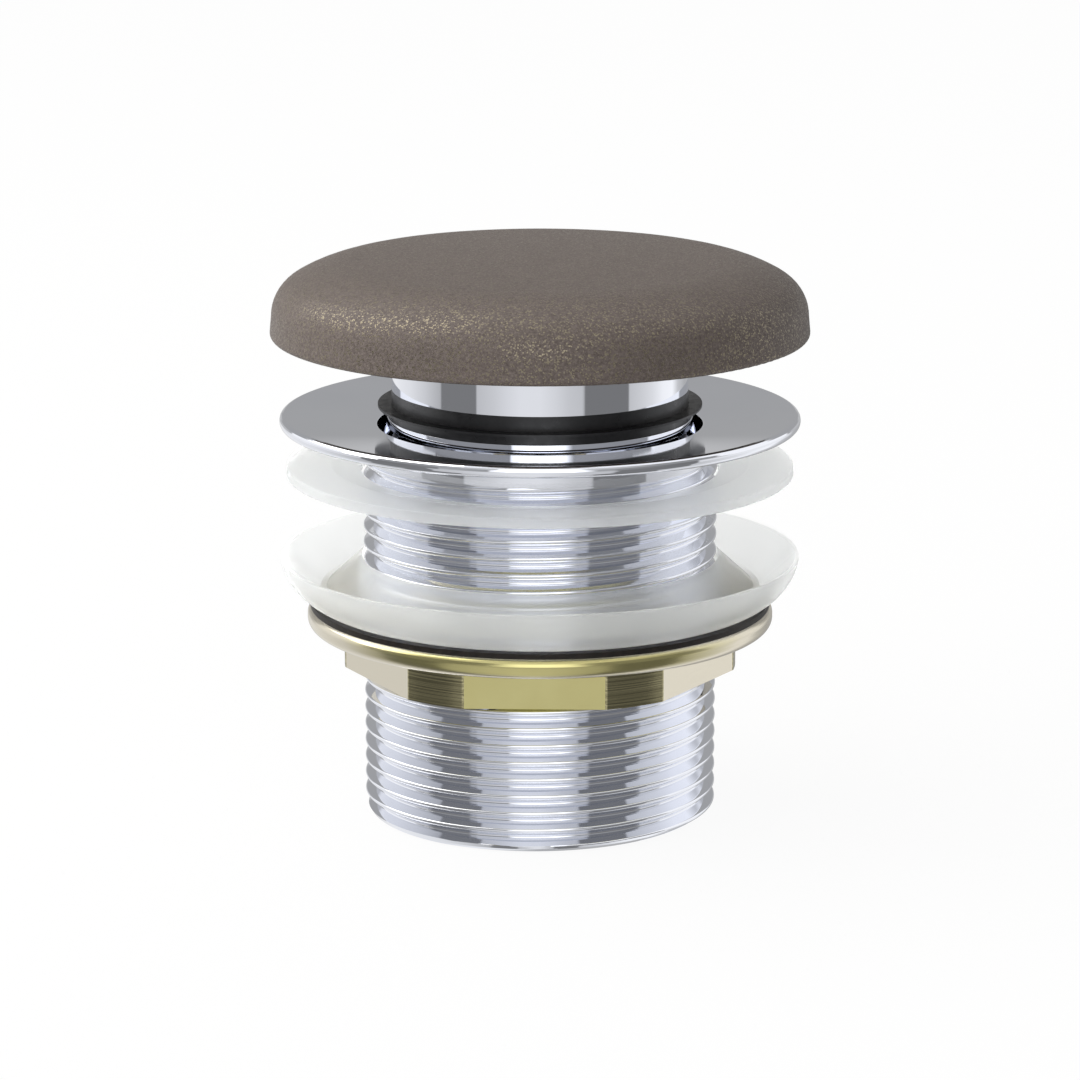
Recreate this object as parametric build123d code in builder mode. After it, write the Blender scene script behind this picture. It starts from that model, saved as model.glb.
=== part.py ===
"""Bath pop-up waste with a push-to-open plug, for a 1 1/2 inch outlet.

Millimetres, +Z up along the drain's axis. Z is 0 at the flange's seat, the flat ring under the
flange that clamps on the bath. The plug is drawn raised, and the washers and the backnut are
drawn part of the way down the thread.
"""

import os
from math import cos, isclose, pi, radians, sin

from build123d import *

# Clearances
RUNNING_FIT = 0.05
THREAD_FIT = 0.10
FREE_GAP = 0.30
BOND_GAP = 0.02

# Waste body: flange, neck and tube, threaded G 1 1/2 outside
THREAD_RADIUS = 47.803 / 2
TUBE_WALL = 3.3
TUBE_LENGTH = 52.25
TUBE_END_CHAMFER_WIDTH = 0.7
TUBE_END_CHAMFER_HEIGHT = 1.08
TUBE_BORE_CHAMFER = 0.4
SEAL_BORE_STEP = 1.3
SEAL_BORE_DEPTH = 6.4
SEAL_BORE_ROUND = 0.3
FLANGE_RADIUS = 35.1
FLANGE_RIM_TOP = 2.67
FLANGE_RIM_THICKNESS = 1.57
FLANGE_DISH_DEPTH = 1.39
FLANGE_EDGE_ROUND = 0.55
SEAT_WIDTH = 4.3

# Bridge across the tube, which carries the cartridge
BRIDGE_DEPTH = 36.0
BRIDGE_THICKNESS = 6.0
BRIDGE_ARMS = 4
BRIDGE_ARM_WIDTH = 3.6
BRIDGE_ARM_ROUND = 0.8
BOSS_WALL = 3.0

# Cap
CAP_RAISED_HEIGHT = 13.18
CAP_OVERHANG = 1.2
CAP_EDGE_ROUND = 0.7
CAP_SIDE_LEAN = 0.27
CAP_SIDE_HEIGHT = 2.88
CAP_SHOULDER_RADIUS = 5.56
CAP_SHOULDER_TURN = 60.0
CAP_CROWN_RADIUS = 18.6
CAP_CROWN_SLOPE = 4.0
CAP_RIM_WIDTH = 4.17
CAP_RECESS_DEPTH = 2.52
CAP_RECESS_ROUND = 0.8

# Threaded insert in the cap
INSERT_FLANGE_RADIUS = 9.0
INSERT_FLANGE_THICKNESS = 1.2
INSERT_BUSH_RADIUS = 6.5
INSERT_BUSH_LENGTH = 4.0

# Plug: gasket, collar, seal, retainer and nut, stacked down from the cap
GASKET_THICKNESS = 0.5
GASKET_WIDTH = 2.4
COLLAR_INSET = 1.9
COLLAR_HEIGHT = 9.2
COLLAR_WALL = 2.2
COLLAR_BASE = 2.6
COLLAR_HUB_RADIUS = 8.2
SEAL_NECK_HEIGHT = 2.05
SEAL_LIP_THICKNESS = 0.5
SEAL_LIP_TIP = 0.3
SEAL_FOOT_HEIGHT = 1.11
SEAL_FOOT_INSET = 2.0
SEAL_WIDTH = 5.3
RETAINER_INSET = 1.3
RETAINER_THICKNESS = 1.3
RETAINER_EDGE_ROUND = 0.1
PLUG_NUT_FLATS = 13.0
PLUG_NUT_HEIGHT = 4.0
NUT_BEVEL = 0.5

# Stem
STEM_RADIUS = 4.0
STEM_TIP_CHAMFER = 0.6
STEM_SPIGOT_RADIUS = 2.4
STEM_SPIGOT_LENGTH = 8.4

# Plug's travel, from raised to pushed right down
PLUG_TRAVEL = 8.0

# Cartridge: gland, sleeve and housing
HOUSING_BORE_RADIUS = 6.6
HOUSING_WALL = 1.4
HOUSING_FLOOR = 1.5
HOUSING_TOP_GAP = 0.4
HOUSING_HEX_HEIGHT = 4.0
HOUSING_TAIL_WALL = 1.55
HOUSING_TAIL_LENGTH = 12.0
SPANNER_FLATS = 19.0
SPRING_BORE_STEP = 1.2
GLAND_CLEARANCE = 0.65
GLAND_WALL = 1.55
GLAND_PLATE = 3.0
GLAND_SKIRT = 6.0
GLAND_SPIGOT = 1.6
GLAND_EDGE_CHAMFER = 0.6
STEM_SEAL_SECTION = 0.75
SLEEVE_WALL = 1.58
SLEEVE_FLANGE_WIDTH = 0.7
SLEEVE_FLANGE_THICKNESS = 1.2
SLEEVE_LENGTH = 13.6
SLEEVE_SLOT_WIDTH = 2.6

# Crown cams of the push cam, the rotor and the sleeve
SLOTS = 4
CAM_TEETH = 2 * SLOTS
CAM_TOOTH_WIDTH = 2.2
CAM_TOOTH_HEIGHT = 1.3
CAM_INNER_STEP = 0.55
CAM_TURN = 360 / CAM_TEETH / 4
CAM_MESH_GAP = 0.05
CAM_HEIGHT = 4.0
CAM_RIB_GAP = 0.4
CAM_RIB_HEIGHT = 2.4
ROTOR_HEIGHT = 3.8
ROTOR_RIB_DROP = 0.15
ROTOR_RIB_HEIGHT = 3.0
ROTOR_STUB_GAP = 0.55
ROTOR_STUB_LENGTH = 3.6
SLEEVE_CAM_HEIGHT = 1.5

# Spring and its seat
SPRING_SEAT_THICKNESS = 0.6
SPRING_SIDE_GAP = 0.05
SPRING_WIRE_RADIUS = 0.45
SPRING_TURNS = 7.5

# Washers and nut below the bridge
SEAT_WASHER_THICKNESS = 0.8
LOCK_WASHER_THICKNESS = 1.0
LOCK_WASHER_INSET = 0.2
LOCK_NUT_HEIGHT = 4.0

# Washers and backnut on the thread, stacked down from the flange's seat
WASHER_BORE_GAP = 0.30
FLANGE_WASHER_DROP = 4.3
FLANGE_WASHER_INSET = 0.9
FLANGE_WASHER_THICKNESS = 1.42
FLANGE_WASHER_RECESS = 0.66
FLANGE_WASHER_EDGE_ROUND = 0.25
WALL_GAP = 11.16
TAPER_FOOT_INSET = 1.4
TAPER_HEIGHT = 6.15
TAPER_SIDE_BULGE = 0.78
TAPER_RIM_WIDTH = 0.5
TAPER_RIM_DEPTH = 0.35
TAPER_VALLEY_WIDTH = 0.8
TAPER_FLOOR = 1.76
SLIP_WIDTH = 7.0
SLIP_THICKNESS = 0.72
NUT_FLANGE_OVERHANG = 0.4
NUT_FLANGE_THICKNESS = 2.76
NUT_FLANGE_ROUND = 0.6
NUT_WALL = 0.87
NUT_CORNER_STAND = 1.77
NUT_HEX_HEIGHT = 5.63
NUT_TURN = -1.65
NUT_BORE_BEVEL = 0.5


def ring(inner, outer, bottom, height):
    """A plain ring about the axis, from its bottom height up."""
    with BuildPart() as turned:
        with BuildSketch(Plane.XY.offset(bottom)):
            Circle(outer)
            Circle(inner, mode=Mode.SUBTRACT)
        extrude(amount=height)
    return turned.part


def turned_profile(points):
    """A solid of revolution from the corners of half its section, each (radius, height)."""
    with BuildPart() as turned:
        with BuildSketch(Plane.XZ):
            with BuildLine():
                Polyline(*points, close=True)
            make_face()
        revolve(axis=Axis.Z)
    return turned.part


def hex_nut(flats, bore, bottom, height):
    """A hexagon nut with its corners bevelled at both ends."""
    corner = flats / 2 / cos(radians(30))
    cone = flats / 2 - NUT_BEVEL / 2
    with BuildPart() as nut:
        with BuildSketch(Plane.XY.offset(bottom)):
            RegularPolygon(flats / 2, 6, major_radius=False)
            Circle(bore, mode=Mode.SUBTRACT)
        extrude(amount=height)
        with BuildSketch(Plane.XZ):
            with BuildLine():
                Polyline(
                    (0, bottom),
                    (cone, bottom),
                    (corner + NUT_BEVEL, bottom + (corner + NUT_BEVEL - cone) / 2),
                    (corner + NUT_BEVEL, bottom + height - (corner + NUT_BEVEL - cone) / 2),
                    (cone, bottom + height),
                    (0, bottom + height),
                    close=True,
                )
            make_face()
        revolve(axis=Axis.Z, mode=Mode.INTERSECT)
    return nut.part


def circles(piece, radius):
    """The piece's round edges that have this radius."""
    found = piece.edges().filter_by(GeomType.CIRCLE)
    return found.filter_by(lambda e: isclose(e.radius, radius, rel_tol=1e-6))


def finish(piece, label):
    """Labels a finished piece and writes its file."""
    piece.part.label = label
    export_step(piece.part, f"parts/{label}.step")


os.makedirs("parts", exist_ok=True)

# Radii that several pieces share, each worked out from the piece that it fits
tube_bore_radius = THREAD_RADIUS - TUBE_WALL
seal_bore_radius = tube_bore_radius + SEAL_BORE_STEP
seat_radius = THREAD_RADIUS + SEAT_WIDTH
collar_radius = seal_bore_radius - COLLAR_INSET
stem_bore = STEM_RADIUS + RUNNING_FIT
housing_radius = HOUSING_BORE_RADIUS + HOUSING_WALL
spring_bore_radius = HOUSING_BORE_RADIUS - SPRING_BORE_STEP
housing_tail_radius = spring_bore_radius + HOUSING_TAIL_WALL
boss_bore = housing_tail_radius + RUNNING_FIT
boss_radius = boss_bore + BOSS_WALL
sleeve_radius = HOUSING_BORE_RADIUS - BOND_GAP
sleeve_bore_radius = sleeve_radius - SLEEVE_WALL
sleeve_flange_radius = HOUSING_BORE_RADIUS + SLEEVE_FLANGE_WIDTH
washer_bore = THREAD_RADIUS + WASHER_BORE_GAP
slip_radius = washer_bore + SLIP_WIDTH

# Waste body
flange_hole_top = FLANGE_RIM_TOP - FLANGE_DISH_DEPTH
flange_rim_bottom = FLANGE_RIM_TOP - FLANGE_RIM_THICKNESS
bridge_bottom = -BRIDGE_DEPTH - BRIDGE_THICKNESS
arm_length = (tube_bore_radius + THREAD_RADIUS) / 2

with BuildPart() as bridge:
    with BuildSketch(Plane.XY.offset(bridge_bottom)):
        with PolarLocations(arm_length / 2, BRIDGE_ARMS):
            Rectangle(arm_length, BRIDGE_ARM_WIDTH)
    extrude(amount=BRIDGE_THICKNESS)
    fillet(bridge.edges().group_by(Axis.Z)[-1], BRIDGE_ARM_ROUND)

with BuildPart() as waste_body:
    with BuildSketch(Plane.XZ):
        with BuildLine():
            Polyline(
                (seal_bore_radius, flange_hole_top),
                (FLANGE_RADIUS, FLANGE_RIM_TOP),
                (FLANGE_RADIUS, flange_rim_bottom),
                (seat_radius, 0),
                (THREAD_RADIUS, 0),
                (THREAD_RADIUS, TUBE_END_CHAMFER_HEIGHT - TUBE_LENGTH),
                (THREAD_RADIUS - TUBE_END_CHAMFER_WIDTH, -TUBE_LENGTH),
                (tube_bore_radius + TUBE_BORE_CHAMFER, -TUBE_LENGTH),
                (tube_bore_radius, TUBE_BORE_CHAMFER - TUBE_LENGTH),
                (tube_bore_radius, -SEAL_BORE_DEPTH - SEAL_BORE_STEP),
                (seal_bore_radius, -SEAL_BORE_DEPTH),
                close=True,
            )
        make_face()
    revolve(axis=Axis.Z)
    fillet(circles(waste_body, FLANGE_RADIUS), FLANGE_EDGE_ROUND)
    fillet(circles(waste_body, seal_bore_radius).sort_by(Axis.Z)[-1], SEAL_BORE_ROUND)
    add(bridge.part)
    with BuildSketch(Plane.XY.offset(bridge_bottom)):
        Circle(boss_radius)
    extrude(amount=BRIDGE_THICKNESS)
    with Locations((0, 0, -BRIDGE_DEPTH)):
        Hole(boss_bore, depth=BRIDGE_THICKNESS)
finish(waste_body, "waste_body")

# Cap, whose side leans in a little, then turns over the shoulder to a shallow dome
cap_bottom = CAP_RAISED_HEIGHT
cap_ceiling = cap_bottom + CAP_RECESS_DEPTH
insert_top = cap_ceiling + INSERT_BUSH_LENGTH
shoulder_start = cap_bottom + CAP_SIDE_HEIGHT
crown_turn = 90 - CAP_SHOULDER_TURN - CAP_CROWN_SLOPE
cap_radius = FLANGE_RADIUS + CAP_OVERHANG
cap_recess_mouth = cap_radius - CAP_RIM_WIDTH
cap_recess_radius = cap_recess_mouth - CAP_RECESS_DEPTH / 2

with BuildPart() as cap:
    with BuildSketch(Plane.XZ):
        with BuildLine():
            side = Line(
                (cap_radius, cap_bottom), (cap_radius - CAP_SIDE_LEAN, shoulder_start)
            )
            shoulder = JernArc(side @ 1, (0, 1), CAP_SHOULDER_RADIUS, CAP_SHOULDER_TURN)
            crown = JernArc(shoulder @ 1, shoulder % 1, CAP_CROWN_RADIUS, crown_turn)
            dome_radius = (crown @ 1).X / sin(radians(CAP_CROWN_SLOPE))
            dome = JernArc(crown @ 1, crown % 1, dome_radius, CAP_CROWN_SLOPE)
            Polyline(
                dome @ 1,
                (0, cap_ceiling),
                (cap_recess_radius, cap_ceiling),
                (cap_recess_mouth, cap_bottom),
                side @ 0,
            )
        make_face()
    revolve(axis=Axis.Z)
    fillet(circles(cap, cap_radius), CAP_EDGE_ROUND)
    fillet(circles(cap, cap_recess_radius), CAP_RECESS_ROUND)
    with BuildSketch(Plane.XY.offset(cap_ceiling)):
        Circle(INSERT_FLANGE_RADIUS + BOND_GAP)
    extrude(amount=INSERT_FLANGE_THICKNESS + BOND_GAP, mode=Mode.SUBTRACT)
    with BuildSketch(Plane.XY.offset(cap_ceiling)):
        Circle(INSERT_BUSH_RADIUS + BOND_GAP)
    extrude(amount=INSERT_BUSH_LENGTH + BOND_GAP, mode=Mode.SUBTRACT)
finish(cap, "cap")

# Insert bonded in the cap, tapped for the stem
collar_top = cap_ceiling - GASKET_THICKNESS

with BuildPart() as cap_insert:
    with BuildSketch(Plane.XY.offset(collar_top)):
        Circle(INSERT_FLANGE_RADIUS)
    extrude(amount=GASKET_THICKNESS + INSERT_FLANGE_THICKNESS)
    with BuildSketch(Plane.XY.offset(collar_top)):
        Circle(INSERT_BUSH_RADIUS)
    extrude(amount=GASKET_THICKNESS + INSERT_BUSH_LENGTH)
    with Locations((0, 0, insert_top)):
        Hole(stem_bore, depth=GASKET_THICKNESS + INSERT_BUSH_LENGTH)
finish(cap_insert, "cap_insert")

with BuildPart() as cap_gasket:
    add(ring(collar_radius - GASKET_WIDTH, collar_radius, collar_top, GASKET_THICKNESS))
finish(cap_gasket, "cap_gasket")

# Collar, a chromed cup with a hub in the middle that meets the insert
collar_bottom = collar_top - COLLAR_HEIGHT
collar_floor = collar_bottom + COLLAR_BASE

with BuildPart() as plug_collar:
    add(
        turned_profile(
            [
                (stem_bore, collar_bottom),
                (collar_radius, collar_bottom),
                (collar_radius, collar_top),
                (collar_radius - COLLAR_WALL, collar_top),
                (collar_radius - COLLAR_WALL, collar_floor),
                (COLLAR_HUB_RADIUS, collar_floor),
                (COLLAR_HUB_RADIUS, collar_top),
                (stem_bore, collar_top),
            ]
        )
    )
finish(plug_collar, "plug_collar")

# Seal, with a thin lip that wipes the seal bore
lip_top = collar_bottom - SEAL_NECK_HEIGHT
lip_bottom = lip_top - SEAL_LIP_THICKNESS
retainer_top = lip_bottom - SEAL_FOOT_HEIGHT
lip_radius = seal_bore_radius - RUNNING_FIT
seal_foot_radius = seal_bore_radius - SEAL_FOOT_INSET
seal_inner_radius = seal_foot_radius - SEAL_WIDTH

with BuildPart() as plug_seal:
    add(
        turned_profile(
            [
                (seal_inner_radius, retainer_top),
                (seal_foot_radius, retainer_top),
                (seal_foot_radius, lip_bottom),
                (lip_radius, lip_top - SEAL_LIP_TIP),
                (lip_radius, lip_top),
                (collar_radius, lip_top),
                (collar_radius, collar_bottom),
                (seal_inner_radius, collar_bottom),
            ]
        )
    )
finish(plug_seal, "plug_seal")

# Retainer, a chromed disc whose hub fills the seal and meets the collar
retainer_bottom = retainer_top - RETAINER_THICKNESS
retainer_radius = seal_bore_radius - RETAINER_INSET
plug_nut_bottom = retainer_bottom - PLUG_NUT_HEIGHT

with BuildPart() as seal_retainer:
    add(
        turned_profile(
            [
                (stem_bore, retainer_bottom),
                (retainer_radius, retainer_bottom),
                (retainer_radius, retainer_top),
                (seal_inner_radius - BOND_GAP, retainer_top),
                (seal_inner_radius - BOND_GAP, collar_bottom),
                (stem_bore, collar_bottom),
            ]
        )
    )
    fillet(circles(seal_retainer, retainer_radius), RETAINER_EDGE_ROUND)
finish(seal_retainer, "seal_retainer")

with BuildPart() as plug_nut:
    add(
        hex_nut(PLUG_NUT_FLATS, stem_bore, plug_nut_bottom, PLUG_NUT_HEIGHT)
    )
finish(plug_nut, "plug_nut")

# Push cam, hung on the stem's spigot just below the gland
gland_top = plug_nut_bottom - PLUG_TRAVEL - GLAND_CLEARANCE
gland_plate_bottom = gland_top - GLAND_PLATE
gland_bottom = gland_plate_bottom - GLAND_SPIGOT
cam_top = gland_bottom - FREE_GAP
cam_bottom = cam_top - CAM_HEIGHT
cam_radius = sleeve_bore_radius - FREE_GAP
cam_rib_radius = HOUSING_BORE_RADIUS - CAM_RIB_GAP
rib_width = SLEEVE_SLOT_WIDTH - 2 * FREE_GAP
spigot_bore = STEM_SPIGOT_RADIUS + RUNNING_FIT
cam_inner_radius = spigot_bore + CAM_INNER_STEP

# With the rotor held a part of a tooth round, the crown teeth touch flank on flank, and the
# teeth's inner ends, where they are closest, set how far apart the two crowns stand.
inner_pitch = 2 * pi * cam_inner_radius / CAM_TEETH
inner_apart = inner_pitch / 2 - cam_inner_radius * radians(CAM_TURN)
crown_lift = CAM_TOOTH_HEIGHT * max(0, 1 - 2 * inner_apart / CAM_TOOTH_WIDTH)
rotor_top = cam_bottom - CAM_TOOTH_HEIGHT - crown_lift - CAM_MESH_GAP


def crown_teeth(height, way, turn):
    """The crown's pointed teeth: way 1 stands them up from height, and way -1 hangs them."""
    with BuildPart() as crown:
        for i in range(CAM_TEETH):
            angle = turn + i * 360 / CAM_TEETH
            out = Vector(cos(radians(angle)), sin(radians(angle)), 0)
            with BuildSketch(Plane(out * cam_inner_radius + Vector(0, 0, height),
                                   x_dir=(-out.Y, out.X, 0), z_dir=out)):
                with BuildLine():
                    Polyline(
                        (-CAM_TOOTH_WIDTH / 2, 0),
                        (CAM_TOOTH_WIDTH / 2, 0),
                        (0, way * CAM_TOOTH_HEIGHT),
                        close=True,
                    )
                make_face()
            extrude(amount=cam_radius - cam_inner_radius)
        with BuildSketch(Plane.XY.offset(height - CAM_TOOTH_HEIGHT)):
            Circle(cam_radius)
        extrude(amount=2 * CAM_TOOTH_HEIGHT, mode=Mode.INTERSECT)
    return crown.part


def ribs(bottom, height, slant):
    """The ribs that ride in the sleeve's slots, with their tops slanted by the given drop."""
    with BuildPart() as rib_set:
        for i in range(SLOTS):
            angle = i * 360 / SLOTS
            out = Vector(cos(radians(angle)), sin(radians(angle)), 0)
            with BuildSketch(Plane(out * cam_inner_radius + Vector(0, 0, bottom),
                                   x_dir=(-out.Y, out.X, 0), z_dir=out)):
                with BuildLine():
                    Polyline(
                        (-rib_width / 2, 0),
                        (rib_width / 2, 0),
                        (rib_width / 2, height - slant),
                        (-rib_width / 2, height),
                        close=True,
                    )
                make_face()
            extrude(amount=cam_rib_radius - cam_inner_radius)
    return rib_set.part


with BuildPart() as push_cam:
    add(ring(spigot_bore, cam_radius, cam_bottom, CAM_HEIGHT))
    add(ribs(cam_top - CAM_RIB_HEIGHT, CAM_RIB_HEIGHT, 0))
    add(crown_teeth(cam_bottom, -1, 0))
finish(push_cam, "push_cam")

# Rotor, whose crown is turned a quarter of a tooth past the push cam's valleys
rotor_bottom = rotor_top - ROTOR_HEIGHT
rotor_turn = 360 / CAM_TEETH / 2 - CAM_TURN
rib_slant = rib_width * CAM_TOOTH_HEIGHT / CAM_TOOTH_WIDTH
rotor_rib_top = rotor_top - ROTOR_RIB_DROP
spring_mean_radius = cam_radius - SPRING_SIDE_GAP - SPRING_WIRE_RADIUS
rotor_stub_radius = spring_mean_radius - SPRING_WIRE_RADIUS - ROTOR_STUB_GAP

with BuildPart() as rotor:
    add(ring(spigot_bore, cam_radius, rotor_bottom, ROTOR_HEIGHT))
    add(ring(spigot_bore, rotor_stub_radius, rotor_bottom - ROTOR_STUB_LENGTH, ROTOR_STUB_LENGTH))
    add(ribs(rotor_rib_top - ROTOR_RIB_HEIGHT, ROTOR_RIB_HEIGHT, rib_slant))
    add(crown_teeth(rotor_top, 1, rotor_turn))
finish(rotor, "rotor")

# Stem, with the spigot that carries the push cam and centres the rotor
stem_top = insert_top - STEM_TIP_CHAMFER

with BuildPart() as plunger:
    with BuildSketch(Plane.XY.offset(cam_top)):
        Circle(STEM_RADIUS)
    extrude(amount=stem_top - cam_top)
    chamfer(plunger.edges().group_by(Axis.Z)[-1], STEM_TIP_CHAMFER)
    with BuildSketch(Plane.XY.offset(cam_top - STEM_SPIGOT_LENGTH)):
        Circle(STEM_SPIGOT_RADIUS)
    extrude(amount=STEM_SPIGOT_LENGTH)
finish(plunger, "plunger")

# Gland, a cap nut on the housing with a groove for the stem's ring seal
housing_top = gland_plate_bottom - HOUSING_TOP_GAP
groove_radius = stem_bore + 2 * STEM_SEAL_SECTION
groove_height = 2 * STEM_SEAL_SECTION
groove_bottom = gland_top - GLAND_PLATE / 2 - STEM_SEAL_SECTION
skirt_bore = housing_radius + RUNNING_FIT
gland_radius = skirt_bore + GLAND_WALL

with BuildPart() as cartridge_gland:
    add(
        turned_profile(
            [
                (stem_bore, gland_bottom),
                (sleeve_flange_radius, gland_bottom),
                (sleeve_flange_radius, gland_plate_bottom),
                (skirt_bore, gland_plate_bottom),
                (skirt_bore, gland_plate_bottom - GLAND_SKIRT),
                (gland_radius, gland_plate_bottom - GLAND_SKIRT),
                (gland_radius, gland_top - GLAND_EDGE_CHAMFER),
                (gland_radius - GLAND_EDGE_CHAMFER, gland_top),
                (stem_bore, gland_top),
                (stem_bore, groove_bottom + groove_height),
                (groove_radius, groove_bottom + groove_height),
                (groove_radius, groove_bottom),
                (stem_bore, groove_bottom),
            ]
        )
    )
finish(cartridge_gland, "cartridge_gland")

with BuildPart() as stem_seal:
    with BuildSketch(Plane.XZ):
        with Locations((stem_bore + STEM_SEAL_SECTION, groove_bottom + STEM_SEAL_SECTION)):
            Circle(STEM_SEAL_SECTION)
    revolve(axis=Axis.Z)
finish(stem_seal, "stem_seal")

# Guide sleeve, hung by its flange in the housing's mouth, with slots and slanted end cams
sleeve_top = gland_bottom
sleeve_bottom = sleeve_top - SLEEVE_LENGTH
sleeve_cam_pitch = 2 * pi * sleeve_bore_radius / CAM_TEETH
sleeve_slot_depth = 2 * (cam_rib_radius + FREE_GAP - sleeve_bore_radius)

with BuildPart() as guide_sleeve:
    add(ring(sleeve_bore_radius, sleeve_radius, sleeve_bottom, SLEEVE_LENGTH))
    add(
        ring(
            sleeve_bore_radius,
            sleeve_flange_radius,
            sleeve_top - SLEEVE_FLANGE_THICKNESS,
            SLEEVE_FLANGE_THICKNESS,
        )
    )
    with BuildSketch(Plane.XY.offset(sleeve_bottom)):
        with PolarLocations((sleeve_bore_radius + sleeve_radius) / 2, SLOTS):
            Rectangle(2 * (sleeve_radius - sleeve_bore_radius), SLEEVE_SLOT_WIDTH)
    extrude(amount=SLEEVE_LENGTH - SLEEVE_FLANGE_THICKNESS, mode=Mode.SUBTRACT)
    with BuildSketch(Plane.XY.offset(sleeve_top - SLEEVE_FLANGE_THICKNESS)):
        with PolarLocations(cam_rib_radius + FREE_GAP - sleeve_slot_depth / 2, SLOTS):
            Rectangle(sleeve_slot_depth, SLEEVE_SLOT_WIDTH)
    extrude(amount=SLEEVE_FLANGE_THICKNESS, mode=Mode.SUBTRACT)
    for i in range(CAM_TEETH):
        cam_angle = i * 360 / CAM_TEETH
        cam_out = Vector(cos(radians(cam_angle)), sin(radians(cam_angle)), 0)
        cam_plane = Plane(
            Vector(0, 0, sleeve_bottom), x_dir=(-cam_out.Y, cam_out.X, 0), z_dir=cam_out
        )
        with BuildSketch(cam_plane):
            with BuildLine():
                Polyline(
                    (0, -RUNNING_FIT),
                    (sleeve_cam_pitch, -RUNNING_FIT),
                    (0, SLEEVE_CAM_HEIGHT),
                    close=True,
                )
            make_face()
        extrude(amount=HOUSING_BORE_RADIUS, mode=Mode.SUBTRACT)
finish(guide_sleeve, "guide_sleeve")

# Housing: a tube with a spanner hexagon, and a blind tail that passes down through the boss
seat_washer_top = -BRIDGE_DEPTH + SEAT_WASHER_THICKNESS
housing_tail_end = -BRIDGE_DEPTH - HOUSING_TAIL_LENGTH
counterbore_bottom = sleeve_top - SLEEVE_FLANGE_THICKNESS
ribs_lowest = rotor_rib_top - ROTOR_RIB_HEIGHT - PLUG_TRAVEL
rib_chamber_bottom = ribs_lowest - FREE_GAP

with BuildPart() as cartridge_housing:
    with BuildSketch(Plane.XY.offset(housing_tail_end)):
        Circle(housing_tail_radius)
    extrude(amount=HOUSING_TAIL_LENGTH + SEAT_WASHER_THICKNESS)
    chamfer(cartridge_housing.edges().group_by(Axis.Z)[0], GLAND_EDGE_CHAMFER)
    with BuildSketch(Plane.XY.offset(seat_washer_top)):
        Circle(housing_radius)
    extrude(amount=housing_top - seat_washer_top)
    add(hex_nut(SPANNER_FLATS, HOUSING_BORE_RADIUS, seat_washer_top, HOUSING_HEX_HEIGHT))
    with BuildSketch(Plane.XY.offset(housing_top)):
        Circle(sleeve_flange_radius + BOND_GAP)
    extrude(amount=counterbore_bottom - housing_top, mode=Mode.SUBTRACT)
    with BuildSketch(Plane.XY.offset(counterbore_bottom)):
        Circle(HOUSING_BORE_RADIUS)
    extrude(amount=rib_chamber_bottom - counterbore_bottom, mode=Mode.SUBTRACT)
    with BuildSketch(Plane.XY.offset(housing_tail_end + HOUSING_FLOOR)):
        Circle(spring_bore_radius)
    extrude(
        amount=rib_chamber_bottom - housing_tail_end - HOUSING_FLOOR + BOND_GAP,
        mode=Mode.SUBTRACT,
    )
finish(cartridge_housing, "cartridge_housing")

# Spring and its thrust ring, between the rotor and the housing's floor
spring_top = rotor_bottom - SPRING_SEAT_THICKNESS
spring_bottom = housing_tail_end + HOUSING_FLOOR
spring_pitch = (spring_top - spring_bottom - 2 * SPRING_WIRE_RADIUS) / SPRING_TURNS

with BuildPart() as spring_seat:
    add(
        ring(
            rotor_stub_radius + RUNNING_FIT,
            cam_radius,
            spring_top,
            SPRING_SEAT_THICKNESS,
        )
    )
finish(spring_seat, "spring_seat")

with BuildPart() as spring:
    with BuildLine():
        coil = Helix(
            pitch=spring_pitch,
            height=spring_pitch * SPRING_TURNS,
            radius=spring_mean_radius,
            center=(0, 0, spring_bottom + SPRING_WIRE_RADIUS),
        )
    with BuildSketch(Plane(coil @ 0, z_dir=coil % 0)):
        Circle(SPRING_WIRE_RADIUS)
    sweep(is_frenet=True)
finish(spring, "spring")

# Washers and lock nut that hold the housing in the bridge
with BuildPart() as seat_washer:
    add(ring(boss_bore, boss_radius, -BRIDGE_DEPTH, SEAT_WASHER_THICKNESS))
finish(seat_washer, "seat_washer")

with BuildPart() as lock_washer:
    add(
        ring(
            boss_bore,
            boss_radius - LOCK_WASHER_INSET,
            bridge_bottom - LOCK_WASHER_THICKNESS,
            LOCK_WASHER_THICKNESS,
        )
    )
finish(lock_washer, "lock_washer")

with BuildPart() as lock_nut:
    add(
        hex_nut(
            SPANNER_FLATS,
            boss_bore,
            bridge_bottom - LOCK_WASHER_THICKNESS - LOCK_NUT_HEIGHT,
            LOCK_NUT_HEIGHT,
        )
    )
finish(lock_nut, "lock_nut")

# Flat washer under the flange, with a shallow cone in its top for the flange's hub
flange_washer_radius = FLANGE_RADIUS - FLANGE_WASHER_INSET
flange_washer_top = -FLANGE_WASHER_DROP
flange_washer_bottom = flange_washer_top - FLANGE_WASHER_THICKNESS

with BuildPart() as flange_washer:
    add(
        turned_profile(
            [
                (washer_bore, flange_washer_bottom),
                (flange_washer_radius, flange_washer_bottom),
                (flange_washer_radius, flange_washer_top),
                (seat_radius, flange_washer_top),
                (washer_bore, flange_washer_top - FLANGE_WASHER_RECESS),
            ]
        )
    )
    fillet(circles(flange_washer, flange_washer_radius), FLANGE_WASHER_EDGE_ROUND)
finish(flange_washer, "flange_washer")

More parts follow.
